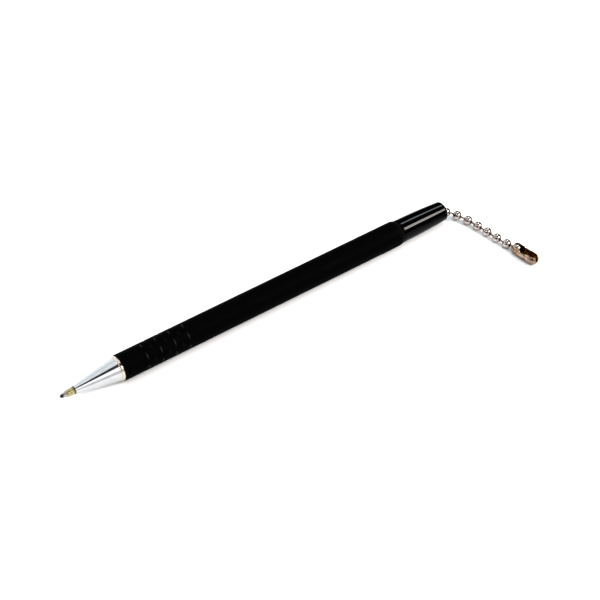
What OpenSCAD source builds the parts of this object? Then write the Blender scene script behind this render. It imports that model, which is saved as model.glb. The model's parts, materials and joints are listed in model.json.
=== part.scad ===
// Counter ballpoint pen with a short bead chain and a chain coupling.
// The pen lies along X with its writing tip towards -X, and rests on z = 0.
// The chain leaves the rear plug, drops to z = 0 and runs off towards -Y.
// The origin is the centre of the footprint. All sizes are in millimetres.

/* [Barrel] */
// Outside diameter of the barrel
barrel_d = 8.7; // [8.7:0.1:9.4]
// Length of the barrel from nose cone to rear plug
barrel_l = 109.8; // [109.8:1:125]
// Bore diameter of the barrel
bore_d = 6.6; // [6.5:0.1:6.8]
// Length of the tapered rear edge
rear_edge_l = 1.6; // [0.8:0.1:2.4]

/* [Grip] */
// Distance from the front of the barrel to the first ring of notches
grip_start = 8.4; // [6:0.1:12]
// Distance between rings of deep notches
grip_pitch = 5.1; // [4:0.1:6]
// Number of rings of deep notches
grip_rings = 4; // [2:1:6]
// Number of notches around one ring
grip_around = 6; // [4:1:6]
// Depth of a deep notch
notch_depth = 0.3; // [0.1:0.05:0.4]
// Radius of the tool that cuts a notch
notch_r = 0.6; // [0.4:0.05:0.8]

/* [Nose cone] */
// Length of the nose cone outside the barrel
cone_l = 16.2; // [14:0.1:18]
// Diameter of the cone at its front end
cone_front_d = 2.56; // [2.5:0.02:2.8]
// Diameter of the polished lip at the base of the cone
lip_d = 8.36; // [8.2:0.02:8.6]

/* [Refill] */
// Length of the metal point that stands out of the cone
point_l = 4.75; // [4:0.05:5.5]
// Diameter of the metal point
point_d = 2.3; // [2.2:0.02:2.34]
// Diameter of the writing ball
ball_d = 1.0; // [0.7:0.1:1.0]
// Outside diameter of the ink tube
tube_d = 3.0; // [2.8:0.1:3.0]
// Length of ink left in the tube
ink_l = 64; // [20:1:70]

/* [Rear plug] */
// Length of the rear plug outside the barrel
plug_l = 19.6; // [16:0.1:24]
// Diameter of the plug where it meets the barrel
plug_d = 8.0; // [7.8:0.05:8.2]
// Diameter of the plug at its rear end, before the rounded edge
plug_end_d = 6.8; // [6.6:0.05:7]
// Diameter of the hole that the chain comes out of
plug_hole_d = 3.7; // [3.6:0.05:3.8]

/* [Chain] */
// Diameter of one bead
bead_d = 3.2; // [3.2:0.05:3.3]
// Wall thickness of a bead
bead_wall = 0.25; // [0.2:0.01:0.28]
// Distance between the centres of two beads
bead_pitch = 4.3; // [4.3:0.05:4.4]
// Diameter of the wire pins
pin_d = 0.56; // [0.5:0.02:0.6]
// Diameter of the heads of the pins
pin_head_d = 1.0; // [0.96:0.02:1.02]

/* [Coupling] */
// Overall length of the coupling
coupling_l = 11; // [10.6:0.1:12]
// Outside diameter of the coupling
coupling_d = 4.0; // [4:0.05:4.1]
// Wall thickness of the coupling
coupling_wall = 0.3; // [0.25:0.01:0.3]

/* [Hidden] */
$fn = 96;

R = barrel_d / 2;            // the barrel rests on z = 0, so this is also the axis height
br = bore_d / 2;
tip_x = -cone_l - point_l;   // end of the writing ball
end_x = barrel_l + plug_l;   // rear end face of the plug
bead_r = bead_d / 2;

// ---- rear plug, from its rear end forwards ----
wall_x = end_x - 0.9;        // inner face of the plug's end wall
ret_t = 0.45;                // thickness of the slotted retainer
ret_x = wall_x - 0.05 - ret_t;
ret_hole = 1.15;             // radius of the retainer's seat for the first bead
cav_r = 2.65;                // radius of the cavity inside the plug
spigot_x = barrel_l - 19.8;  // front end of the plug's spigot

// ---- refill ----
point_r = point_d / 2;
ball_r = ball_d / 2;
ball_x = tip_x + ball_r;     // centre of the writing ball
shank_x = -10;               // rear face of the point's collar, where the tube starts
shank_end = -6;
tube_end = spigot_x - 2.5;
tube_bore = 0.92;

// ---- chain ----
// A bead turns on its pin at the middle of the bead's hole.
reach = 1.4;                       // bead centre to turning point
link = bead_pitch - 2 * reach;     // turning point to turning point
head_in = 0.85;                    // turning point to the centre of a pin head
hole_r = 0.44;                     // radius of a bead's holes
first_x = ret_x - sqrt(bead_r * bead_r - ret_hole * ret_hole) - 0.04;

// Heading and climb of each bead, in degrees, from the plug to the coupling.
// The heading is measured from +X towards +Y.
bead_dir = [[0, -4], [-17, -24], [-63, -9], [-78, 0], [-80, 0], [-83, 0], [-81, 0], [-78, 4]];
// The same for the first two pins, and the headings of the rest.
pin_dir = [[-1, -19], [-40, -15]];
pin_heading = [-60, -82, -82, -82, -79];
last_heading = -79;                // of the last pin and the bead on it
coupling_heading = -83;
lie = bead_r;                      // height of the centre of a bead that lies on z = 0
coupling_r = coupling_d / 2;

function dir(a) = [cos(a[1]) * cos(a[0]), cos(a[1]) * sin(a[0]), sin(a[1])];
function next(c, a, p, b) = c + reach * dir(a) + link * dir(p) + reach * dir(b);

c0 = [first_x, 0, R];
c1 = next(c0, bead_dir[0], pin_dir[0], bead_dir[1]);
c2 = next(c1, bead_dir[1], pin_dir[1], bead_dir[2]);
// the third pin climbs or drops by what is needed for the next bead to lie down
p3 = [pin_heading[0], asin((lie - c2[2] - reach * sin(bead_dir[2][1])) / link)];
c3 = next(c2, bead_dir[2], p3, bead_dir[3]);
c4 = next(c3, bead_dir[3], [pin_heading[1], 0], bead_dir[4]);
c5 = next(c4, bead_dir[4], [pin_heading[2], 0], bead_dir[5]);
c6 = next(c5, bead_dir[5], [pin_heading[3], 0], bead_dir[6]);
// the last bead sits in the coupling, whose axis is a coupling radius high
p7 = [pin_heading[4], -asin(reach * sin(bead_dir[7][1]) / link)];
c7 = next(c6, bead_dir[6], p7, bead_dir[7]);
rise = asin((coupling_r - c7[2] - reach * sin(bead_dir[7][1])) / (link + reach));
p8 = [last_heading, rise];
c8 = next(c7, bead_dir[7], p8, p8);

centres = [c0, c1, c2, c3, c4, c5, c6, c7, c8];
bead_axes = concat(bead_dir, [p8]);
pin_axes = [pin_dir[0], pin_dir[1], p3, [pin_heading[1], 0], [pin_heading[2], 0], [pin_heading[3], 0], p7, p8];

// ---- footprint, which sets the origin ----
socket_l = coupling_l - coupling_d;              // between the centres of the two sockets
far = c8 + socket_l * dir([coupling_heading, 0]);
ox = -(tip_x + far[0] + coupling_r) / 2;
oy = -(far[1] - coupling_r + R) / 2;

// puts children that are built around +Z, with z as distance along the pen, onto the pen's axis
module on_pen() { translate([ox, oy, R]) rotate([0, 90, 0]) children(); }
// a solid of revolution on the pen's axis: points are [radius, distance along the pen]
module turned(points) { on_pen() rotate_extrude() polygon(points); }

// a groove cut straight across the barrel, which runs out at both ends
module notch(x, angle, depth) {
    rotate([0, 0, angle]) translate([R - depth + notch_r, 0, x])
        rotate([90, 0, 0]) cylinder(r = notch_r, h = 5, center = true, $fn = 48);
}

module barrel() {
    color([0.07, 0.07, 0.075]) on_pen() difference() {
        rotate_extrude() polygon([
            [br, 0], [R - 0.15, 0], [R, 0.15],
            [R, barrel_l - rear_edge_l], [R - 0.08, barrel_l - 0.6 * rear_edge_l],
            [R - 0.2, barrel_l - 0.2 * rear_edge_l], [R - 0.32, barrel_l], [br, barrel_l]]);
        for (i = [0:grip_rings - 1], k = [0:grip_around - 1])
            notch(grip_start + i * grip_pitch, 228 + k * 360 / grip_around, notch_depth);
        for (i = [0:grip_rings - 2], k = [0:grip_around - 1])
            notch(grip_start + (i + 0.5) * grip_pitch, 228 + (k + 0.5) * 360 / grip_around, 0.7 * notch_depth);
    }
}

module nose_cone() {
    lr = lip_d / 2;
    color([0.86, 0.87, 0.88]) turned([
        [1.22, -cone_l], [cone_front_d / 2 - 0.06, -cone_l], [cone_front_d / 2, -cone_l + 0.08],
        [lr - 0.22, -1.15], [lr - 0.3, -1.05], [lr - 0.1, -0.95], [lr, -0.85], [lr, -0.12], [lr - 0.1, -0.02],
        [br - 0.02, -0.02], [br - 0.02, 1.2], [br - 0.25, 1.4], [br - 0.25, 2],
        [br - 0.02, 2.2], [br - 0.02, 8.6], [br - 0.3, 9],
        [2.4, 9], [2.4, 1], [tube_d / 2 + 0.12, shank_x + 0.6], [tube_d / 2 + 0.12, shank_x - 0.1], [1.22, shank_x - 0.4]]);
}

module refill_point() {
    color([0.78, 0.72, 0.5]) on_pen() difference() {
        rotate_extrude() polygon([
            [0, tip_x + 0.34], [ball_r - 0.08, tip_x + 0.34], [ball_r + 0.12, tip_x + 0.62],
            [0.8, tip_x + 1.45], [0.86, tip_x + 1.5], [point_r, tip_x + 2.45],
            [point_r, shank_x], [tube_bore, shank_x], [tube_bore, shank_end], [0, shank_end]]);
        // seat of the ball and the ink channel behind it
        translate([0, 0, ball_x]) sphere(r = ball_r + 0.02, $fn = 48);
        translate([0, 0, ball_x]) cylinder(r = 0.24, h = shank_end - ball_x + 1, $fn = 32);
    }
}

module writing_ball() {
    color([0.2, 0.2, 0.21]) translate([ox + ball_x, oy, R]) sphere(r = ball_r, $fn = 48);
}

module ink_tube() {
    color([0.88, 0.88, 0.86]) turned([
        [tube_bore, shank_x], [tube_d / 2, shank_x], [tube_d / 2, tube_end], [tube_bore, tube_end]]);
}

module ink() {
    color([0.03, 0.03, 0.05]) turned([
        [0, shank_end], [tube_bore - 0.02, shank_end], [tube_bore - 0.02, shank_end + ink_l], [0, shank_end + ink_l]]);
}

module grease_plug() {
    color([0.75, 0.7, 0.45]) turned([
        [0, shank_end + ink_l], [tube_bore - 0.02, shank_end + ink_l],
        [tube_bore - 0.02, shank_end + ink_l + 4], [0, shank_end + ink_l + 4]]);
}

// cup in the front of the plug's spigot that the tail of the refill bears on
module refill_stop() {
    color([0.75, 0.75, 0.73]) turned([
        [0, tube_end + 0.02], [tube_d / 2 + 0.05, tube_end + 0.02], [tube_d / 2 + 0.05, tube_end - 3], [tube_d / 2 + 0.7, tube_end - 3],
        [tube_d / 2 + 0.7, spigot_x - 1], [br - 0.1, spigot_x - 1], [br - 0.1, spigot_x - 0.02],
        [cav_r - 0.02, spigot_x - 0.02], [cav_r - 0.02, spigot_x + 5], [0, spigot_x + 5]]);
}

module rear_plug() {
    pr = plug_d / 2;
    er = plug_end_d / 2;
    hr = plug_hole_d / 2;
    x0 = barrel_l + 0.02;
    color([0.02, 0.02, 0.02]) turned(concat(
        [[cav_r, spigot_x], [br - 0.22, spigot_x], [br - 0.02, spigot_x + 0.4], [br - 0.02, x0], [pr, x0]],
        // the outside swells gently, then draws in to a rounded rear edge
        [for (i = [0:10]) [pr - (pr - er) * pow(i / 10, 2.2), x0 + (plug_l - 0.9) * i / 10]],
        [for (a = [10:10:80]) [er - 0.75 + 0.75 * cos(a), end_x - 0.85 + 0.85 * sin(a)]],
        // chamfered mouth, hole through the end wall and the cavity behind it
        [[er - 0.75, end_x], [hr + 0.6, end_x], [hr, end_x - 0.55], [hr, wall_x], [cav_r, wall_x]]));
}

// washer with a slot from its edge, which lets a pin in and holds the bead behind it
module chain_retainer() {
    color([0.7, 0.7, 0.68]) on_pen() translate([0, 0, ret_x]) difference() {
        cylinder(r = cav_r - 0.03, h = ret_t);
        translate([0, 0, -1]) cylinder(r = ret_hole, h = 3);
        translate([-4, -0.375, -1]) cube([4, 0.75, 3]);
    }
}

// children that are built around +Z are put at point c along direction a
module along(c, a) { translate([ox + c[0], oy + c[1], c[2]]) rotate([0, 90 - a[1], a[0]]) children(); }

// hollow bead with a hole at each end of its axis
module bead(i) {
    color([0.75, 0.74, 0.72]) along(centres[i], bead_axes[i]) difference() {
        sphere(r = bead_r);
        sphere(r = bead_r - bead_wall);
        cylinder(r = hole_r, h = bead_d + 2, center = true, $fn = 48);
    }
}

// wire pin with a round head inside each of the two beads that it joins; pin i ends in bead i
module pin(i) {
    a = pin_axes[i - 1];
    start = centres[i - 1] + reach * dir(bead_axes[i - 1]);
    color([0.7, 0.69, 0.66]) along(start, a) {
        translate([0, 0, -head_in]) cylinder(d = pin_d, h = link + 2 * head_in, $fn = 32);
        translate([0, 0, -head_in]) sphere(d = pin_head_d, $fn = 32);
        translate([0, 0, link + head_in]) sphere(d = pin_head_d, $fn = 32);
    }
}

// bent sheet coupling, open on top: a socket at each end, a slot for the pin and two pairs of tabs
module coupling() {
    ri = coupling_r - coupling_wall;
    L = socket_l;
    color([0.72, 0.6, 0.38]) translate([ox + c8[0], oy + c8[1], c8[2]]) rotate([0, 0, coupling_heading]) {
        difference() {
            union() {
                rotate([0, 90, 0]) cylinder(r = coupling_r, h = L);
                sphere(r = coupling_r);
                translate([L, 0, 0]) sphere(r = coupling_r);
            }
            rotate([0, 90, 0]) cylinder(r = ri, h = L);
            sphere(r = ri);
            translate([L, 0, 0]) sphere(r = ri);
            // opening over both sockets, and the wider middle where a bead goes in
            translate([0, 0, 0.4]) linear_extrude(3) {
                translate([-0.2, -1.2]) square([L + 0.4, 2.4]);
                translate([-0.2, 0]) circle(r = 1.2, $fn = 48);
                translate([L + 0.2, 0]) circle(r = 1.2, $fn = 48);
            }
            translate([L / 2 - 1.25, -3, 0.95]) cube([2.5, 6, 3]);
            // slots that the pins come out of
            for (s = [-1, 1]) translate([s < 0 ? -3 : L, 0, -0.3]) {
                translate([0, -0.5, 0]) cube([3, 1, 4]);
                rotate([0, 90, 0]) cylinder(r = 0.5, h = 3, $fn = 48);
            }
        }
        // tabs pressed in from the side walls
        for (x = [2.15, L - 2.15 - 0.35], s = [-1, 1])
            translate([x, s < 0 ? -ri - 0.1 : ri - 0.3, -0.5]) cube([0.35, 0.4, 1.35]);
    }
}

barrel();
nose_cone();
refill_point();
writing_ball();
ink_tube();
ink();
grease_plug();
refill_stop();
rear_plug();
chain_retainer();
bead(0);  // bead_0
pin(1);  // pin_1
bead(1);  // bead_1
pin(2);  // pin_2
bead(2);  // bead_2
pin(3);  // pin_3
bead(3);  // bead_3
pin(4);  // pin_4
bead(4);  // bead_4
pin(5);  // pin_5
bead(5);  // bead_5
pin(6);  // pin_6
bead(6);  // bead_6
pin(7);  // pin_7
bead(7);  // bead_7
pin(8);  // pin_8
bead(8);  // bead_8
coupling();
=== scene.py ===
import json
import math
import bpy
import numpy as np
from mathutils import Matrix, Vector


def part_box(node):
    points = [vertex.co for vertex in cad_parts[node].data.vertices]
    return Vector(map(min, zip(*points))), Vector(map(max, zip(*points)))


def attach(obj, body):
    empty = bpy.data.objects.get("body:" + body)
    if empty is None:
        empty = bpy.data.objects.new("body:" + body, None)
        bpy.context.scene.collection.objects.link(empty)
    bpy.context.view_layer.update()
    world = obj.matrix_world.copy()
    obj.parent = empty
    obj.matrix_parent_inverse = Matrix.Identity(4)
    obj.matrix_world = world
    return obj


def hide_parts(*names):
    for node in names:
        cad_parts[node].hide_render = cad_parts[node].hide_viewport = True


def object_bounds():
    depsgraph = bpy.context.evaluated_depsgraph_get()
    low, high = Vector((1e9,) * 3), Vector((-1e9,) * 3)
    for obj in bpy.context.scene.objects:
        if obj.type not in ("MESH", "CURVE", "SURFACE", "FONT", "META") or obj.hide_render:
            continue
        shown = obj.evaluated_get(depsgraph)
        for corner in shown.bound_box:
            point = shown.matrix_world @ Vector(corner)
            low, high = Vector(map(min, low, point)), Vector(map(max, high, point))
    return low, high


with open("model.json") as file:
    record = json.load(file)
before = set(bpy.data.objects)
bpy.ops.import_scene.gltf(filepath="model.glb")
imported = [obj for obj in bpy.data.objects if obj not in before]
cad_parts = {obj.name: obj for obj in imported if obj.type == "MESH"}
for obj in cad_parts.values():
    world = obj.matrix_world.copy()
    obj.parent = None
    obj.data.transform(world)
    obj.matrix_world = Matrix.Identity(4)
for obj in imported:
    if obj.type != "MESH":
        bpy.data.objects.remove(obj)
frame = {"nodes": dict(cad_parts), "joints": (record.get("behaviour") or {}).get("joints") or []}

cad_lo, cad_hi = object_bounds()          # the CAD model's box
MM = 0.001
rng = np.random.RandomState(7)

# ------------------------------------------------------------------ places, from the frame
b_lo, b_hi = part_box("barrel")
X0 = b_lo.x                            # front of the barrel; x along the pen is counted from here, in mm
YC, ZC = (b_lo.y + b_hi.y) / 2, (b_lo.z + b_hi.z) / 2
R = (b_hi.z - b_lo.z) / 2 / MM         # barrel radius, mm
BL = (b_hi.x - b_lo.x) / MM            # barrel length, mm
c_lo, c_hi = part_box("nose_cone")
p_lo, p_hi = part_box("rear_plug")
t_lo, t_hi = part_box("refill_point")
w_lo, w_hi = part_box("writing_ball")
CONE_F = (c_lo.x - X0) / MM            # front of the cone
SPIG = (c_hi.x - X0) / MM              # rear of the cone's spigot, in the barrel
END = (p_hi.x - X0) / MM               # rear face of the plug
PL0 = (p_lo.x - X0) / MM               # front of the plug's spigot
PR = (p_hi.z - p_lo.z) / 2 / MM        # plug radius
PT_F = (t_lo.x - X0) / MM
PT_B = (t_hi.x - X0) / MM
BALL = Vector(((w_lo.x + w_hi.x) / 2, (w_lo.y + w_hi.y) / 2, (w_lo.z + w_hi.z) / 2))
BALL_R = (w_hi.z - w_lo.z) / 2 / MM
joint_of = {j["child"]: j for j in frame["joints"]}


def centre(node):
    lo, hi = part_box(node)
    return (lo + hi) / 2


# ------------------------------------------------------------------ mesh helpers
def build(name, verts, faces, angle=40.0):
    me = bpy.data.meshes.new(name)
    me.from_pydata([tuple(v) for v in verts], [], faces)
    me.update()
    me.validate()
    me.shade_smooth()
    if angle is not None:
        me.set_sharp_from_angle(angle=math.radians(angle))
    ob = bpy.data.objects.new(name, me)
    bpy.context.scene.collection.objects.link(ob)
    return ob


def basis(axis):
    a = Vector(axis).normalized()
    up = Vector((0, 0, 1)) if abs(a.z) < 0.9 else Vector((0, 1, 0))
    e2 = (up - a * a.dot(up)).normalized()        # towards the top
    e1 = a.cross(e2)                              # to the side
    return a, e1, e2


def rounded(points, default=0.0, n=5):
    """Closed outline of (r, x) points, some with a third value, the radius of that corner."""
    out = []
    m = len(points)
    for i in range(m):
        p = np.array(points[i][:2], float)
        rad = points[i][2] if len(points[i]) > 2 else default
        a = np.array(points[i - 1][:2], float)
        b = np.array(points[(i + 1) % m][:2], float)
        da, db = np.linalg.norm(a - p), np.linalg.norm(b - p)
        if rad <= 0 or da < 1e-9 or db < 1e-9:
            out.append(p)
            continue
        ua, ub = (a - p) / da, (b - p) / db
        ang = math.acos(max(-1, min(1, float(ua @ ub))))
        if ang > math.pi - 0.05:
            out.append(p)
            continue
        t = min(rad / math.tan(ang / 2), 0.48 * da, 0.48 * db)
        s, e = p + ua * t, p + ub * t
        for k in range(n + 1):                    # a conic through the corner, close to an arc
            u = k / n
            w = math.sin(ang / 2)
            den = (1 - u) ** 2 + 2 * w * u * (1 - u) + u * u
            out.append(((1 - u) ** 2 * s + 2 * w * u * (1 - u) * p + u * u * e) / den)
    return [tuple(v) for v in out]


def lathe(name, outline, origin, axis, segs=128, shift=None, angle=40.0, thetas=None):
    """Closed outline of (radius, distance) in mm turned about an axis. Points at radius 0 become poles.
    shift(r, x, theta) may return a new radius."""
    a, e1, e2 = basis(axis)
    o = Vector(origin)
    th = list(thetas) if thetas is not None else [2 * math.pi * k / segs for k in range(segs)]
    n = len(th)
    verts, rings = [], []
    for r, x in outline:
        if r < 1e-7:
            verts.append(o + a * x * MM)
            rings.append([len(verts) - 1] * n)
            continue
        ring = []
        for t in th:
            rr = shift(r, x, t) if shift else r
            verts.append(o + a * (x * MM) + (e1 * math.sin(t) + e2 * math.cos(t)) * (rr * MM))
            ring.append(len(verts) - 1)
        rings.append(ring)
    faces = []
    m = len(rings)
    for i in range(m):
        A, B = rings[i], rings[(i + 1) % m]
        if A[0] == A[1 % n] and B[0] == B[1 % n]:
            continue
        for k in range(n):
            q = [A[k], A[(k + 1) % n], B[(k + 1) % n], B[k]]
            f = []
            for v in q:
                if v not in f:
                    f.append(v)
            if len(f) > 2:
                faces.append(f)
    ob = build(name, verts, faces, angle)
    # outward normals
    me = ob.data
    vol = 0.0
    co = np.array([v.co[:] for v in me.vertices])
    for p in me.polygons:
        ids = list(p.vertices)
        for k in range(1, len(ids) - 1):
            vol += np.dot(co[ids[0]], np.cross(co[ids[k]], co[ids[k + 1]]))
    if vol < 0:
        me.flip_normals()
    return ob


def place(ob, body, slot, mat, *nodes):
    ob.data.materials.clear()
    ob.data.materials.append(mat)
    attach(ob, body)
    if nodes:
        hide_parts(*nodes)
    return ob


# ------------------------------------------------------------------ material helpers
class Mat:
    def __init__(self, name, **const):
        self.m = bpy.data.materials.new(name)
        self.m.use_nodes = True
        self.nt = self.m.node_tree
        self.nt.nodes.clear()
        self.out = self.nt.nodes.new("ShaderNodeOutputMaterial")
        self.b = self.nt.nodes.new("ShaderNodeBsdfPrincipled")
        self.nt.links.new(self.b.outputs[0], self.out.inputs[0])
        self.tc = self.nt.nodes.new("ShaderNodeTexCoord")
        for k, v in const.items():
            self.b.inputs[k.replace("_", " ")].default_value = v

    def link(self, a, b):
        self.nt.links.new(a, b)

    def coord(self, scale=(1, 1, 1), loc=(0, 0, 0), rot=(0, 0, 0)):
        n = self.nt.nodes.new("ShaderNodeMapping")
        n.inputs["Scale"].default_value = scale
        n.inputs["Location"].default_value = loc
        n.inputs["Rotation"].default_value = rot
        self.link(self.tc.outputs["Object"], n.inputs["Vector"])
        return n.outputs[0]

    def noise(self, scale, detail=3.0, rough=0.5, vec=None, distortion=0.0):
        n = self.nt.nodes.new("ShaderNodeTexNoise")
        n.inputs["Scale"].default_value = scale
        n.inputs["Detail"].default_value = detail
        n.inputs["Roughness"].default_value = rough
        n.inputs["Distortion"].default_value = distortion
        self.link(vec if vec is not None else self.tc.outputs["Object"], n.inputs["Vector"])
        return n.outputs["Fac"]

    def voronoi(self, scale, vec=None, feature="F1"):
        n = self.nt.nodes.new("ShaderNodeTexVoronoi")
        n.feature = feature
        n.inputs["Scale"].default_value = scale
        self.link(vec if vec is not None else self.tc.outputs["Object"], n.inputs["Vector"])
        return n.outputs["Distance"]

    def span(self, fac, a, b, lo=0.0, hi=1.0, smooth=True):
        n = self.nt.nodes.new("ShaderNodeMapRange")
        n.interpolation_type = "SMOOTHSTEP" if smooth else "LINEAR"
        n.inputs["From Min"].default_value = a
        n.inputs["From Max"].default_value = b
        n.inputs["To Min"].default_value = lo
        n.inputs["To Max"].default_value = hi
        self.link(fac, n.inputs["Value"])
        return n.outputs[0]

    def math(self, op, a, b=None):
        n = self.nt.nodes.new("ShaderNodeMath")
        n.operation = op
        for i, v in enumerate((a, b)):
            if v is None:
                continue
            if isinstance(v, (int, float)):
                n.inputs[i].default_value = v
            else:
                self.link(v, n.inputs[i])
        return n.outputs[0]

    def mix(self, fac, a, b):
        n = self.nt.nodes.new("ShaderNodeMix")
        n.data_type = "RGBA"
        for sock, v in ((n.inputs[0], fac), (n.inputs[6], a), (n.inputs[7], b)):
            if isinstance(v, (tuple, list)):
                sock.default_value = (*v, 1.0) if len(v) == 3 else v
            elif isinstance(v, (int, float)):
                sock.default_value = v
            else:
                self.link(v, sock)
        return n.outputs[2]

    def axis(self, i, vec=None):
        n = self.nt.nodes.new("ShaderNodeSeparateXYZ")
        self.link(vec if vec is not None else self.tc.outputs["Object"], n.inputs[0])
        return n.outputs[i]

    def attr(self, name):
        n = self.nt.nodes.new("ShaderNodeAttribute")
        n.attribute_name = name
        return n.outputs["Fac"]

    def bump(self, height, distance, strength=1.0, normal=None):
        n = self.nt.nodes.new("ShaderNodeBump")
        n.inputs["Strength"].default_value = strength
        n.inputs["Distance"].default_value = distance
        self.link(height, n.inputs["Height"])
        if normal is not None:
            self.link(normal, n.inputs["Normal"])
        return n.outputs[0]

    def set(self, **links):
        for k, v in links.items():
            self.link(v, self.b.inputs[k.replace("_", " ")])
        return self.m


def soft_touch():
    k = Mat("soft_touch_black", Metallic=0.0, IOR=1.47, Specular_IOR_Level=0.10)
    grain = k.noise(16000, 2, 0.6)
    cloud = k.noise(260, 4, 0.55)
    wipe = k.noise(1.0, 4, 0.6, vec=k.coord(scale=(90, 700, 700)))
    wear_and_painted_highlight = k.attr("wear_and_painted_highlight")
    dust = k.span(k.voronoi(2600), 0.0, 0.05, 1.0, 0.0)
    col = k.mix(cloud, (0.0017, 0.0017, 0.0018), (0.0038, 0.0037, 0.0038))
    # wear_and_painted_highlight lightens the colour: painted highlight on the far walls of the grip notches, and real
    # wear at the barrel's ends
    col = k.mix(wear_and_painted_highlight, col, (0.060, 0.059, 0.058))
    col = k.mix(k.math("MULTIPLY", dust, 0.10), col, (0.03, 0.029, 0.028))
    r = k.math("ADD", k.span(cloud, 0.3, 0.7, 0.50, 0.60), k.math("MULTIPLY", wipe, 0.06))
    r = k.math("SUBTRACT", r, k.math("MULTIPLY", wear_and_painted_highlight, 0.14))
    n = k.bump(grain, 4.0e-6, 0.55)
    n = k.bump(cloud, 1.5e-5, 0.18, n)
    return k.set(Base_Color=col, Roughness=r, Normal=n)


def gloss_black():
    k = Mat("gloss_black", Metallic=0.0, IOR=1.5, Specular_IOR_Level=0.28)
    cloud = k.noise(420, 4, 0.55)
    smear = k.noise(1.0, 5, 0.6, vec=k.coord(scale=(60, 500, 500)))
    hair = k.span(k.noise(1.0, 2, 0.5, vec=k.coord(scale=(300, 9000, 9000))), 0.60, 0.72, 0.0, 1.0)
    dust = k.span(k.voronoi(3000), 0.0, 0.045, 1.0, 0.0)
    col = k.mix(cloud, (0.0006, 0.0005, 0.0005), (0.0014, 0.0011, 0.0010))
    col = k.mix(k.math("MULTIPLY", dust, 0.08), col, (0.03, 0.03, 0.03))
    r = k.math("ADD", k.span(smear, 0.35, 0.7, 0.055, 0.10), k.math("MULTIPLY", hair, 0.04))
    n = k.bump(cloud, 6.0e-6, 0.25)
    n = k.bump(hair, 6.0e-7, 0.25, n)
    return k.set(Base_Color=col, Roughness=r, Normal=n)


def chrome(name, a, b, rough=(0.05, 0.11), rings=True, tint_noise=500):
    k = Mat(name, Metallic=1.0, IOR=1.5)
    cloud = k.noise(tint_noise, 4, 0.55)
    smear = k.noise(1.0, 5, 0.6, vec=k.coord(scale=(160, 700, 700)))
    fine = k.noise(1.0, 2, 0.5, vec=k.coord(scale=(14000, 300, 300)) if rings else k.coord(scale=(9000, 9000, 9000)))
    col = k.mix(k.span(cloud, 0.3, 0.7), a, b)
    x = k.axis(0)
    # painted reflection: the lip and the cone behind it are tinted cream for the warm light the lip reflects
    lip = k.span(x, X0 - 1.12 * MM, X0 - 0.98 * MM)
    col = k.mix(lip, col, (0.66, 0.61, 0.52))
    # painted dark reflection: the cone's front rim is darkened for the dark surroundings it reflects
    rim = k.span(x, X0 + (CONE_F + 0.10) * MM, X0 + (CONE_F + 0.34) * MM, 0.8, 0.0)
    col = k.mix(rim, col, (0.10, 0.10, 0.07))
    r = k.math("ADD", k.span(smear, 0.3, 0.72, rough[0], rough[1]), k.math("MULTIPLY", fine, 0.03))
    n = k.bump(fine, 3.0e-7, 0.25)
    n = k.bump(cloud, 2.0e-6, 0.12, n)
    return k.set(Base_Color=col, Roughness=r, Normal=n)


def turned_point():
    k = Mat("turned_nickel_silver", Metallic=1.0, IOR=1.5)
    x = k.axis(0)
    rings = k.noise(1.0, 2, 0.6, vec=k.coord(scale=(26000, 120, 120)))
    cloud = k.noise(1600, 3, 0.5)
    # painted reflection: the front of the point is tinted grey for the pale floor it reflects
    front = k.span(x, X0 + (PT_F + 1.0) * MM, X0 + (PT_F + 1.7) * MM, 1.0, 0.0)
    # painted shade: the point is darkened where it comes out of the cone
    painted_exit_shade = k.span(x, X0 + (CONE_F - 0.45) * MM, X0 + (CONE_F - 0.05) * MM, 0.0, 0.75)
    col = k.mix(k.span(cloud, 0.3, 0.7), (0.40, 0.36, 0.22), (0.54, 0.49, 0.31))
    col = k.mix(painted_exit_shade, col, (0.09, 0.085, 0.03))
    col = k.mix(k.math("MULTIPLY", front, 0.8), col, (0.50, 0.48, 0.47))
    ink = k.span(x, X0 + (PT_F + 0.1) * MM, X0 + (PT_F + 0.85) * MM, 0.85, 0.0)
    col = k.mix(ink, col, (0.03, 0.03, 0.045))
    r = k.math("ADD", k.span(rings, 0.3, 0.7, 0.14, 0.26), k.math("MULTIPLY", cloud, 0.05))
    return k.set(Base_Color=col, Roughness=r, Normal=k.bump(rings, 1.2e-6, 0.5))


def dark_ball():
    k = Mat("carbide_ball", Metallic=1.0, IOR=1.5)
    film = k.noise(3200, 3, 0.6)
    col = k.mix(k.span(film, 0.42, 0.6), (0.012, 0.012, 0.02), (0.12, 0.12, 0.13))
    return k.set(Base_Color=col, Roughness=k.span(film, 0.3, 0.7, 0.12, 0.3), Normal=k.bump(film, 2e-6, 0.2))


def bead_metal(name, tint):
    k = Mat(name, Metallic=1.0, IOR=1.5)
    cloud = k.noise(900, 4, 0.6)
    tiny = k.noise(7000, 3, 0.6)
    scratch = k.span(k.noise(1.0, 2, 0.5, vec=k.coord(scale=(900, 11000, 4000), rot=(0.5, 0.3, 0.9))), 0.60, 0.70)
    # darker and rougher around the holes, along the seam and on the bead's inner faces
    dark_holes_seam_inside = k.attr("dark_holes_seam_inside")
    col = k.mix(k.span(cloud, 0.3, 0.7), tint, tuple(v * 0.86 for v in tint))
    col = k.mix(k.math("MULTIPLY", dark_holes_seam_inside, 0.85), col, (0.035, 0.028, 0.022))
    r = k.math("ADD", k.span(cloud, 0.3, 0.7, 0.045, 0.10), k.math("MULTIPLY", scratch, 0.12))
    r = k.math("ADD", r, k.math("MULTIPLY", dark_holes_seam_inside, 0.25))
    n = k.bump(tiny, 2.0e-6, 0.16)
    n = k.bump(scratch, 1.0e-6, 0.3, n)
    return k.set(Base_Color=col, Roughness=r, Normal=n)


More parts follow.
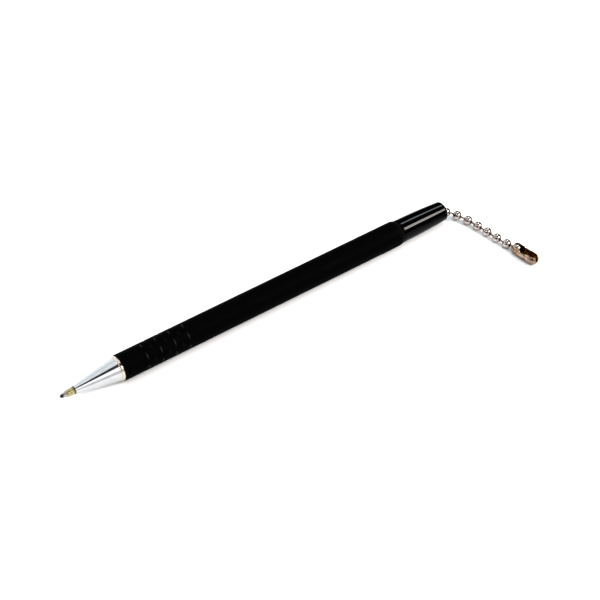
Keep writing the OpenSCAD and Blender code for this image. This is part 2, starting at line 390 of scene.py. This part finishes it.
def wire_metal():
    k = Mat("drawn_wire", Metallic=1.0, IOR=1.5)
    draw = k.noise(1.0, 3, 0.6, vec=k.coord(scale=(3000, 3000, 9000)))
    cloud = k.noise(1500, 3, 0.5)
    col = k.mix(k.span(cloud, 0.3, 0.7), (0.34, 0.31, 0.285), (0.24, 0.215, 0.195))
    return k.set(Base_Color=col, Roughness=k.span(draw, 0.3, 0.7, 0.16, 0.3), Normal=k.bump(draw, 1.5e-6, 0.3))


def brassy_sheet(origin, heading):
    """Tinted sheet metal, paler outside. Painted shade: a deeper, darker colour inside the trough and its corners.
    Painted highlight: pale rims.
    """
    k = Mat("tinted_sheet", Metallic=1.0, IOR=1.5)
    cloud = k.noise(700, 4, 0.6)
    tiny = k.noise(8000, 3, 0.6)
    roll = k.noise(1.0, 3, 0.6, vec=k.coord(scale=(2500, 2500, 700), rot=(0, 0, -heading)))
    inside = k.attr("inside")
    # painted highlight: the rims are tinted pale yellow-white where they catch light
    painted_edge_highlight = k.attr("edge")
    outer = k.mix(k.span(cloud, 0.38, 0.62), (0.50, 0.40, 0.31), (0.27, 0.205, 0.155))
    inner = k.mix(k.span(cloud, 0.38, 0.62), (0.60, 0.45, 0.21), (0.24, 0.15, 0.06))
    # painted shade: the inner faces of the trough take the deeper, darker colour
    col = k.mix(inside, outer, inner)
    col = k.mix(k.math("MULTIPLY", painted_edge_highlight, 0.9), col, (0.92, 0.84, 0.63))
    r = k.math("ADD", k.span(cloud, 0.3, 0.7, 0.12, 0.22), k.math("MULTIPLY", roll, 0.06))
    n = k.bump(tiny, 2.0e-6, 0.18)
    n = k.bump(cloud, 1.2e-5, 0.2, n)
    return k.set(Base_Color=col, Roughness=r, Normal=n)


def plain_plastic(name, a, b, rough=(0.3, 0.45), through=0.0, scale=900):
    k = Mat(name, Metallic=0.0, IOR=1.5, Transmission_Weight=through)
    cloud = k.noise(scale, 3, 0.5)
    fine = k.noise(9000, 2, 0.5)
    col = k.mix(k.span(cloud, 0.3, 0.7), a, b)
    return k.set(Base_Color=col, Roughness=k.span(cloud, 0.3, 0.7, rough[0], rough[1]), Normal=k.bump(fine, 2e-6, 0.2))


def stamped_steel():
    k = Mat("stamped_steel", Metallic=1.0, IOR=1.5)
    roll = k.noise(1.0, 3, 0.6, vec=k.coord(scale=(400, 6000, 400)))
    col = k.mix(k.span(roll, 0.3, 0.7), (0.48, 0.47, 0.46), (0.60, 0.59, 0.57))
    return k.set(Base_Color=col, Roughness=k.span(roll, 0.3, 0.7, 0.22, 0.38), Normal=k.bump(roll, 1.5e-6, 0.3))


M_BARREL = soft_touch()
M_PLUG = gloss_black()
M_CONE = chrome("polished_cone", (0.60, 0.605, 0.62), (0.645, 0.645, 0.65), rough=(0.07, 0.14))
M_POINT = turned_point()
M_BALL = dark_ball()
M_BEAD = bead_metal("bright_nickel", (0.55, 0.50, 0.48))
M_PIN = wire_metal()
M_TUBE = plain_plastic("refill_tube", (0.80, 0.80, 0.78), (0.86, 0.86, 0.84))
M_INK = plain_plastic("ink", (0.004, 0.004, 0.007), (0.009, 0.009, 0.014), (0.1, 0.2))
M_GREASE = plain_plastic("grease", (0.52, 0.45, 0.22), (0.62, 0.55, 0.30), (0.15, 0.25))
M_STOP = plain_plastic("natural_moulding", (0.66, 0.66, 0.63), (0.74, 0.74, 0.71))
M_STEEL = stamped_steel()

# ------------------------------------------------------------------ camera and floor
target = Vector(((cad_lo.x + cad_hi.x) / 2 + 0.00581, (cad_lo.y + cad_hi.y) / 2 + 0.01223, 0.0))
AZ, EL, ROLL, DIST, FPX = math.radians(-36.12), math.radians(43.05), math.radians(0.18), 0.5525, 1690.7
back = Vector((math.sin(AZ) * math.cos(EL), -math.cos(AZ) * math.cos(EL), math.sin(EL)))
right = Vector((math.cos(AZ), math.sin(AZ), 0.0))
up = back.cross(right)
right2 = right * math.cos(ROLL) + up * math.sin(ROLL)
up2 = up * math.cos(ROLL) - right * math.sin(ROLL)
cam_data = bpy.data.cameras.new("camera")
cam_data.sensor_width = 36.0
cam_data.lens = FPX * 36.0 / 600.0
cam_data.clip_start, cam_data.clip_end = 0.01, 20.0
cam = bpy.data.objects.new("camera", cam_data)
bpy.context.scene.collection.objects.link(cam)
cam.matrix_world = Matrix.Translation(target + back * DIST) @ Matrix((right2, up2, back)).transposed().to_4x4()
bpy.context.scene.camera = cam
bpy.context.scene.view_settings.view_transform = "Standard"
bpy.context.scene.view_settings.look = "Very High Contrast"

floor = build("floor", [(-3, -3, 0), (3, -3, 0), (3, 3, 0), (-3, 3, 0)], [(0, 1, 2, 3)], None)
fm = Mat("pale_floor", Metallic=0.0, IOR=1.4, Specular_IOR_Level=0.1)
fm.set(Base_Color=fm.mix(fm.noise(30, 2, 0.5), (0.90, 0.90, 0.90), (0.93, 0.93, 0.93)), Roughness=fm.span(fm.noise(60, 2, 0.5), 0.3, 0.7, 0.85, 0.95))
floor.data.materials.append(fm.m)

# ------------------------------------------------------------------ lights
world = bpy.data.worlds.new("world")
bpy.context.scene.world = world
world.use_nodes = True
world.node_tree.nodes["Background"].inputs[0].default_value = (1.0, 0.97, 0.97, 1.0)
world.node_tree.nodes["Background"].inputs[1].default_value = 0.10


def panel(name, direction, distance, w, h, radiance, colour=(1, 1, 1), about=None, glossy=True, twist=0.0):
    """Soft box: w is its size along the horizontal, h the other way. Radiance is what a mirror would show."""
    d = Vector(direction).normalized()
    light = bpy.data.lights.new(name, "AREA")
    light.shape = "RECTANGLE"
    light.size, light.size_y = w, h
    light.energy = radiance * math.pi * w * h
    light.color = colour
    ob = bpy.data.objects.new(name, light)
    bpy.context.scene.collection.objects.link(ob)
    at = Vector(about) if about is not None else Vector((0, YC, ZC))
    pos = at + d * distance
    z = d
    x = Vector((1, 0, 0)) - z * z.x
    x = x.normalized() if x.length > 1e-3 else Vector((0, 1, 0))
    y = z.cross(x)
    m = Matrix((x, y, z)).transposed().to_4x4()
    ob.matrix_world = Matrix.Translation(pos) @ m @ Matrix.Rotation(twist, 4, "Z")
    ob.visible_glossy = glossy
    return ob


plug_mid = (X0 + (BL + 10) * MM, YC, ZC)
cone_mid = (X0 - 8 * MM, YC, ZC)
panel("key", (0.0, -0.25, 1.0), 1.3, 0.8, 0.8, 0.85, (1.0, 1.0, 1.0), glossy=False)
panel("front_fill", (0.1, -0.75, 0.75), 1.3, 1.1, 0.9, 1.35, (1.0, 1.0, 1.0), glossy=False)


def box_light(name, angle, distance, x0, x1, h, radiance, colour):
    """Soft box beside the pen: angle from overhead, + towards -Y; x0 and x1 are metres from the barrel's front."""
    a = math.radians(angle)
    mid = Vector((X0 + (x0 + x1) / 2, YC, ZC))
    return panel(name, (0, -math.sin(a), math.cos(a)), distance, x1 - x0, h, radiance, colour, about=mid)


# seen in the plug
box_light("plug_top", -18.5, 0.82, 0.46, 0.80, 0.27, 5.2, (0.83, 0.93, 1.0))
box_light("plug_front", 42.5, 0.82, 0.46, 0.80, 0.37, 11.0, (1.0, 0.96, 0.92))
# seen from behind
box_light("rear_low", -58.0, 0.9, -0.95, -0.37, 0.55, 0.9, (1.0, 1.0, 1.0))
box_light("rear_high", 14.0, 0.9, -0.95, -0.37, 0.40, 1.5, (1.0, 0.99, 0.98))
panel("rear_end", (-0.9, 0.25, 0.42), 0.95, 0.7, 0.6, 0.7, (1.0, 1.0, 1.0))
# seen in the cone and the point
box_light("cone_top", -12.0, 0.9, -0.30, 0.43, 0.56, 0.66, (0.94, 0.97, 1.0))
box_light("cone_rear", -60.0, 0.9, -0.30, 0.43, 1.12, 0.56, (0.91, 0.98, 1.0))
box_light("cone_edge", -72.0, 0.9, -0.30, 0.43, 0.64, 0.18, (0.93, 1.0, 1.0))
box_light("cone_wide", 61.0, 0.9, -0.30, 0.43, 1.04, 0.50, (1.0, 1.0, 1.0))
box_light("cone_front", 46.5, 0.9, -0.30, 0.43, 0.48, 0.40, (1.0, 0.98, 1.0))


# ------------------------------------------------------------------ barrel
def barrel():
    notches = []
    for i in range(4):
        for k in range(6):
            notches.append((8.4 + 5.1 * i, math.radians(48 + 60 * k), 0.30))
    for i in range(3):
        for k in range(6):
            notches.append((8.4 + 5.1 * (i + 0.5), math.radians(48 + 30 + 60 * k), 0.21))
    tool = 0.6
    xs = [0.0, 0.02, 0.05, 0.09, 0.13, 0.18, 0.4, 1.5, 3.5, 6.0, 7.0]
    xs += list(np.arange(7.6, 24.55, 0.085))
    xs += [24.8, 26, 30, 38, 46, 54, 62, 70, 78, 86, 94, 100, 104, 106.5, 107.6]
    xs += list(BL - 1.7 + 1.7 * np.linspace(0, 1, 16) ** 0.8)
    th = np.linspace(0, 2 * math.pi, 321)[:-1]
    prof = []
    for x in xs:
        r = R
        if x < 0.15:
            r = R - 0.15 + math.sqrt(max(0, 0.15 ** 2 - (0.15 - x) ** 2))
        s = (x - (BL - 1.6)) / 1.6
        if s > 0:
            r = R - 0.30 * s ** 1.8
        if x > BL - 0.06:
            r -= 0.06 * (1 - math.sqrt(max(0, 1 - ((x - BL + 0.06) / 0.06) ** 2)))
        prof.append((r, x))
    nx, nt = len(prof), len(th)
    rad = np.repeat(np.array([p[0] for p in prof])[:, None], nt, 1)
    xx = np.array([p[1] for p in prof])[:, None]
    wear_and_painted_highlight = np.zeros((nx, nt))
    for xc, ang, dep in notches:
        d = (th - ang + math.pi) % (2 * math.pi) - math.pi
        near = np.abs(xx - xc) < tool + 0.35
        ok = near & (np.abs(d)[None, :] < 1.0)
        rho = R - dep + tool
        s = np.clip(1 - ((xx - xc) / tool) ** 2, 0, None)
        cut = (rho - tool * np.sqrt(s)) / np.cos(np.clip(d, -1.2, 1.2))[None, :]
        over = np.clip(np.abs(xx - xc) / tool - 1, 0, None)
        cut = cut + over * 0.6                       # eases the rim outside the tool
        depth = R - cut
        k = 0.05                                     # soft moulded rim
        h = np.clip(0.5 + 0.5 * depth / k, 0, 1)
        soft = depth * h + k * h * (1 - h)
        soft = np.where(ok, np.clip(soft, 0, None), 0)
        rad = np.minimum(rad, R - soft)
        # painted highlight: the far wall of each notch is made lighter, where light catches it
        flank = np.clip(depth / 0.08, 0, 1) * np.clip(0.25 + (xx - xc) / 0.30, 0, 1)
        flank = flank * (np.exp(-(d / 0.26) ** 2) * (1.0 if dep > 0.25 else 0.35))[None, :]
        wear_and_painted_highlight = np.maximum(wear_and_painted_highlight, np.where(ok, flank, 0))
    # wear at the ends: lighter over the rear end's last 1.9 mm and at the front edge
    s = np.clip((xx - (BL - 1.9)) / 1.4, 0, 1)
    wear_and_painted_highlight = np.maximum(wear_and_painted_highlight, 0.15 * np.repeat(s, nt, 1))
    s = np.clip((0.45 - xx) / 0.4, 0, 1)
    wear_and_painted_highlight = np.maximum(wear_and_painted_highlight, 0.25 * np.repeat(s, nt, 1))
    verts = []
    for i in range(nx):
        for k in range(nt):
            verts.append((X0 + prof[i][1] * MM, YC - math.sin(th[k]) * rad[i, k] * MM, ZC + math.cos(th[k]) * rad[i, k] * MM))
    w = list(wear_and_painted_highlight.ravel())
    rings = [[i * nt + k for k in range(nt)] for i in range(nx)]
    bore = 3.3
    for x, r in ((BL, bore + 0.06), (BL - 0.06, bore), (BL - 20, bore), (60.0, bore), (SPIG + 2, bore), (0.06, bore), (0.0, bore + 0.06)):
        ring = []
        for k in range(nt):
            verts.append((X0 + x * MM, YC - math.sin(th[k]) * r * MM, ZC + math.cos(th[k]) * r * MM))
            w.append(0.0)
            ring.append(len(verts) - 1)
        rings.append(ring)
    faces = []
    m = len(rings)
    for i in range(m):
        A, B = rings[i], rings[(i + 1) % m]
        for k in range(nt):
            j = (k + 1) % nt
            faces.append((A[k], B[k], B[j], A[j]))
    ob = build("barrel_shell", verts, faces, 40)
    at = ob.data.attributes.new("wear_and_painted_highlight", "FLOAT", "POINT")
    at.data.foreach_set("value", np.array(w, np.float32))
    return ob


ob = barrel()
place(ob, "pen", "barrel_black", M_BARREL, "barrel")

# ------------------------------------------------------------------ nose cone
lr = (c_hi.z - c_lo.z) / 2 / MM
cone = rounded([
    (1.22, CONE_F, 0.03), (1.28, CONE_F, 0.045), (lr - 0.24, -1.16, 0.12), (lr - 0.30, -1.04, 0.05), (lr - 0.10, -0.93, 0.05),
    (lr, -0.80, 0.12), (lr, -0.12, 0.1), (lr - 0.12, -0.02, 0.05), (3.28, -0.02, 0.0), (3.28, 1.2), (3.05, 1.4), (3.05, 2.0),
    (3.28, 2.2), (3.28, SPIG - 0.4), (3.0, SPIG), (2.4, SPIG), (2.4, 1.0), (1.62, -9.4), (1.62, -10.1), (1.22, -10.4)], n=6)
ob = lathe("nose_cone_shell", cone, (X0, YC, ZC), (1, 0, 0), 160, angle=50)
place(ob, "pen", "cone_chrome", M_CONE, "nose_cone")

# ------------------------------------------------------------------ metal point and ball
f = PT_F
point = rounded([
    (0.24, f + 0.20), (0.42, f + 0.03, 0.03), (BALL_R + 0.035, f + 0.06, 0.05), (BALL_R + 0.14, f + 0.34, 0.15), (0.80, f + 1.12, 0.05),
    (0.88, f + 1.17, 0.03), (1.13, f + 2.05, 0.35), (1.15, f + 2.6, 0.1), (1.15, -10.0, 0.05), (0.92, -10.0), (0.92, -6.0), (0.24, -6.0)], n=5)
ob = lathe("refill_point_turned", point, (X0, YC, ZC), (1, 0, 0), 112, angle=45)
place(ob, "pen", "point_metal", M_POINT, "refill_point")

ball = [(BALL_R * math.sin(a), -BALL_R * math.cos(a)) for a in np.linspace(0, math.pi, 33)]
ball[0], ball[-1] = (0, -BALL_R), (0, BALL_R)
ob = lathe("writing_ball_ground", ball, BALL, (1, 0, 0), 64, angle=None)
place(ob, "writing_ball", "ball_carbide", M_BALL, "writing_ball")

# ------------------------------------------------------------------ rear plug
x0 = BL + 0.02
er = 3.4
outer = [(PR - (PR - er) * (i / 14) ** 2.2, x0 + (END - 0.9 - x0 + 0.02) * i / 14) for i in range(15)]
outer[0] = (PR - 0.05, x0)
outer.insert(1, (PR - 0.015, x0 + 0.02))
outer.insert(2, (PR, x0 + 0.07))
edge = [(er - 0.75 + 0.75 * math.cos(math.radians(a)), END - 0.85 + 0.85 * math.sin(math.radians(a))) for a in range(6, 90, 6)]
hr = 1.85
plug = rounded(
    [(2.65, PL0), (3.08, PL0, 0.1), (3.28, PL0 + 0.4, 0.1), (3.28, x0)] + outer + edge
    + [(er - 0.75, END), (hr + 0.6, END, 0.08), (hr, END - 0.55, 0.12), (hr, END - 0.9, 0.04), (2.65, END - 0.9)], n=5)
ob = lathe("rear_plug_moulded", plug, (X0, YC, ZC), (1, 0, 0), 160, angle=50)
place(ob, "pen", "plug_black", M_PLUG, "rear_plug")

# ------------------------------------------------------------------ chain
turn = {}
for k in range(0, 9):
    turn[f"bead_{k}"] = Vector(joint_of[f"bead_{k}"]["pos_m"])
for k in range(1, 9):
    turn[f"pin_{k}"] = Vector(joint_of[f"pin_{k}"]["pos_m"])
BR = 1.6


def bead(k):
    c = centre(f"bead_{k}")
    ax = (turn["pin_1"] - c) if k == 0 else (c - turn[f"bead_{k}"])
    hole, wall, lip = 0.44, 0.25, 0.07
    a0 = math.asin((hole + lip) / BR)
    arc = [(BR * math.sin(a), -BR * math.cos(a)) for a in np.linspace(a0, math.pi - a0, 41)]
    z1 = BR * math.cos(a0)
    ri = BR - wall
    b0 = math.asin((hole + 0.02) / ri)
    rim = [(hole + 0.03, z1 - 0.005), (hole, z1 - 0.05)]
    inner = [(ri * math.sin(a), ri * math.cos(a)) for a in np.linspace(b0, math.pi - b0, 21)]
    outline = arc + rim + inner + [(r, -x) for r, x in reversed(rim)]
    th0 = rng.uniform(0, 2 * math.pi)
    fine = [-0.075, -0.05, -0.035, -0.02, 0.0, 0.02, 0.035, 0.05, 0.075]
    th = sorted(set([round(t, 5) for t in np.linspace(0.12, 2 * math.pi - 0.12, 66)] + [round(t % (2 * math.pi), 5) for t in fine]))

    def shift(r, x, t):
        d = (t + math.pi) % (2 * math.pi) - math.pi
        g = 0.035 * math.exp(-(d / 0.022) ** 2)       # seam where the rolled strip meets
        rr = math.hypot(r, x)
        return r * (1 - g / BR) if rr > BR - 0.12 else r
    a, e1, e2 = basis(ax)
    ob = lathe(f"bead_{k}_rolled", outline, (0, 0, 0), (0, 0, 1), thetas=th, shift=shift, angle=50)
    # local frame: z along the bead's axis, seam turned to its own side
    m = Matrix((e1 * math.cos(th0) + e2 * math.sin(th0), e2 * math.cos(th0) - e1 * math.sin(th0), a)).transposed().to_4x4()
    if m.determinant() < 0:
        m = Matrix((e2 * math.cos(th0) - e1 * math.sin(th0), e1 * math.cos(th0) + e2 * math.sin(th0), a)).transposed().to_4x4()
    co = np.array([v.co[:] for v in ob.data.vertices]) / MM
    rr = np.hypot(co[:, 0], co[:, 1])
    th_ = np.arctan2(co[:, 0], co[:, 1])
    # darker around the holes, along the seam and on the bead's inner faces
    dark_holes_seam_inside = np.clip((hole + 0.22 - rr) / 0.2, 0, 1) + np.exp(-(th_ / 0.03) ** 2) * 0.9 + (np.linalg.norm(co, axis=1) < BR - 0.1) * 1.0
    at = ob.data.attributes.new("dark_holes_seam_inside", "FLOAT", "POINT")
    at.data.foreach_set("value", np.clip(dark_holes_seam_inside, 0, 1).astype(np.float32))
    ob.data.transform(Matrix.Translation(c) @ m)
    ob.data.update()
    place(ob, f"bead_{k}", "bead_nickel", M_BEAD, f"bead_{k}")
    return c, a


for k in range(9):
    bead(k)


def pin(k):
    A, B = turn[f"pin_{k}"], turn[f"bead_{k}"]
    if k == 8:
        B = centre("bead_8") - (centre("bead_8") - A).normalized() * 1.4 * MM
    L = (B - A).length / MM
    h, rw, rh = 0.85, 0.28, 0.5
    left = [(0, -h - rh)] + [(rh * math.sin(a), -h - rh * math.cos(a)) for a in np.linspace(0.2, math.pi - math.asin(rw / rh) - 0.12, 14)]
    neck = [(rw + 0.03, -h + rh * 0.88 + 0.05), (rw, -h + rh * 0.9 + 0.16), (rw, L / 2)]
    half = left + neck
    outline = half + [(r, L - x) for r, x in reversed(half[:-1])]
    ob = lathe(f"pin_{k}_wire", outline, A, (B - A), 40, angle=None)
    place(ob, f"pin_{k}", "pin_nickel", M_PIN, f"pin_{k}")


for k in range(1, 9):
    pin(k)


# ------------------------------------------------------------------ coupling: the sheet with its edges rounded
def coupling():
    src = frame["nodes"]["coupling"]
    me = src.data.copy()
    ob = bpy.data.objects.new("coupling_sheet", me)
    bpy.context.scene.collection.objects.link(ob)
    me.materials.clear()
    o = centre("bead_8")
    me.transform(Matrix.Scale(1 / MM, 4) @ Matrix.Translation(-o))
    rm = ob.modifiers.new("remesh", "REMESH")
    rm.mode = "VOXEL"
    rm.voxel_size = 0.05
    sm = ob.modifiers.new("smooth", "CORRECTIVE_SMOOTH") if False else ob.modifiers.new("smooth", "SMOOTH")
    sm.factor, sm.iterations = 0.5, 6
    dg = bpy.context.evaluated_depsgraph_get()
    new = bpy.data.meshes.new_from_object(ob.evaluated_get(dg))
    ob.modifiers.clear()
    old = ob.data
    ob.data = new
    bpy.data.meshes.remove(old)
    new.name = "coupling_sheet"
    jc = joint_of["coupling"]
    side = Vector(jc["axis"]).normalized()
    d = Vector((0, 0, 1)).cross(side).normalized()
    far = max(((v.co.dot(d)) for v in new.vertices))
    if abs(min(v.co.dot(d) for v in new.vertices)) > far:
        d = -d
        far = max(((v.co.dot(d)) for v in new.vertices))
    co = np.array([v.co[:] for v in new.vertices])
    dv = np.array(d)
    L = far - 2.0
    t = np.clip(co @ dv, 0, L)
    rr = np.linalg.norm(co - t[:, None] * dv[None, :], axis=1)
    # inside marks the trough's inner faces, which the material paints with shade
    inside = np.clip((1.86 - rr) / 0.1, 0, 1)
    no = np.zeros(len(co) * 3, np.float32)
    new.vertices.foreach_get("normal", no)
    no = no.reshape(-1, 3)
    radial = (co - t[:, None] * dv[None, :]) / np.maximum(rr, 1e-6)[:, None]
    across = 1 - np.abs((radial * no).sum(1))
    # edge marks the rims, which the material paints with a highlight
    edge = np.clip((across - 0.18) / 0.4, 0, 1)
    for nm, val in (("inside", inside), ("edge", edge)):
        at = new.attributes.new(nm, "FLOAT", "POINT")
        at.data.foreach_set("value", val.astype(np.float32))
    new.transform(Matrix.Translation(o) @ Matrix.Scale(MM, 4))
    new.update()
    new.shade_smooth()
    return ob, math.atan2(d.y, d.x)


ob, head = coupling()
M_SHEET = brassy_sheet(centre("bead_8"), head)
place(ob, "coupling", "coupling_brass", M_SHEET, "coupling")

# ------------------------------------------------------------------ CAD pieces that stay as they are, inside the pen
for node, m in (("ink_tube", M_TUBE), ("ink", M_INK), ("grease_plug", M_GREASE), ("refill_stop", M_STOP), ("chain_retainer", M_STEEL)):
    o = frame["nodes"][node]
    o.data.materials.clear()
    o.data.materials.append(m)
    for p in o.data.polygons:
        p.use_smooth = True
    o.data.set_sharp_from_angle(angle=math.radians(35))
